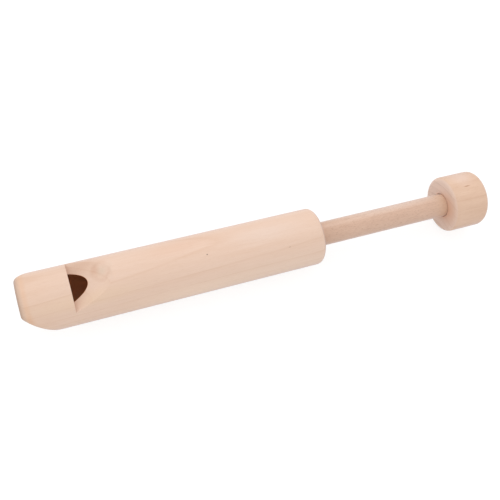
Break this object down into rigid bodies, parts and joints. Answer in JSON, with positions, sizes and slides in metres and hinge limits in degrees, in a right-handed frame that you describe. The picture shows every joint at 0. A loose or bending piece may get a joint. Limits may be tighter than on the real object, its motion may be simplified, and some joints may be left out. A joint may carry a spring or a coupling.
{
  "type": "slide whistle",
  "caption": "Turned wooden slide whistle: a bored barrel with a beaked, windowed mouthpiece and a sliding plunger rod with a drum-shaped knob that sets the pitch.",
  "frame": {"origin": "on the barrel's axis at the mouth end", "axes": "+X along the barrel's axis from the mouth end to the knob, +Z out of the side with the window, +Y completes the frame"},
  "size_m": [0.2346, 0.0284, 0.0284],
  "materials": {
    "barrel_maple": "sanded, unfinished",
    "block_maple": "sawn and sanded, unfinished",
    "bush_maple": "turned, unfinished",
    "rod_beech": "sanded dowel, unfinished",
    "knob_maple": "sanded, unfinished",
    "disc_beech": "turned, unfinished",
    "wool_felt": "pressed felt",
    "zinc_plated_steel": "zinc plated"
  },
  "bodies": {
    "barrel": {"barrel": "barrel_maple", "fipple_block": "block_maple", "end_bush": "bush_maple"},
    "packing": {"felt_ring_front": "wool_felt", "felt_ring_rear": "wool_felt"},
    "plunger": {"plunger_rod": "rod_beech", "knob": "knob_maple", "piston_front_disc": "disc_beech", "piston_rear_disc": "disc_beech", "piston_washer": "zinc_plated_steel", "piston_screw": "zinc_plated_steel"}
  },
  "joints": [
    {"name": "plunger_slide", "type": "slide", "parent": "barrel", "child": "packing", "axis": [1, 0, 0], "range_m": [-0.0714, 0.0068]},
    {"name": "plunger_spin", "type": "hinge", "parent": "packing", "child": "plunger", "pos_m": [0.11595, 0, 0], "axis": [1, 0, 0], "continuous": true}
  ]
}
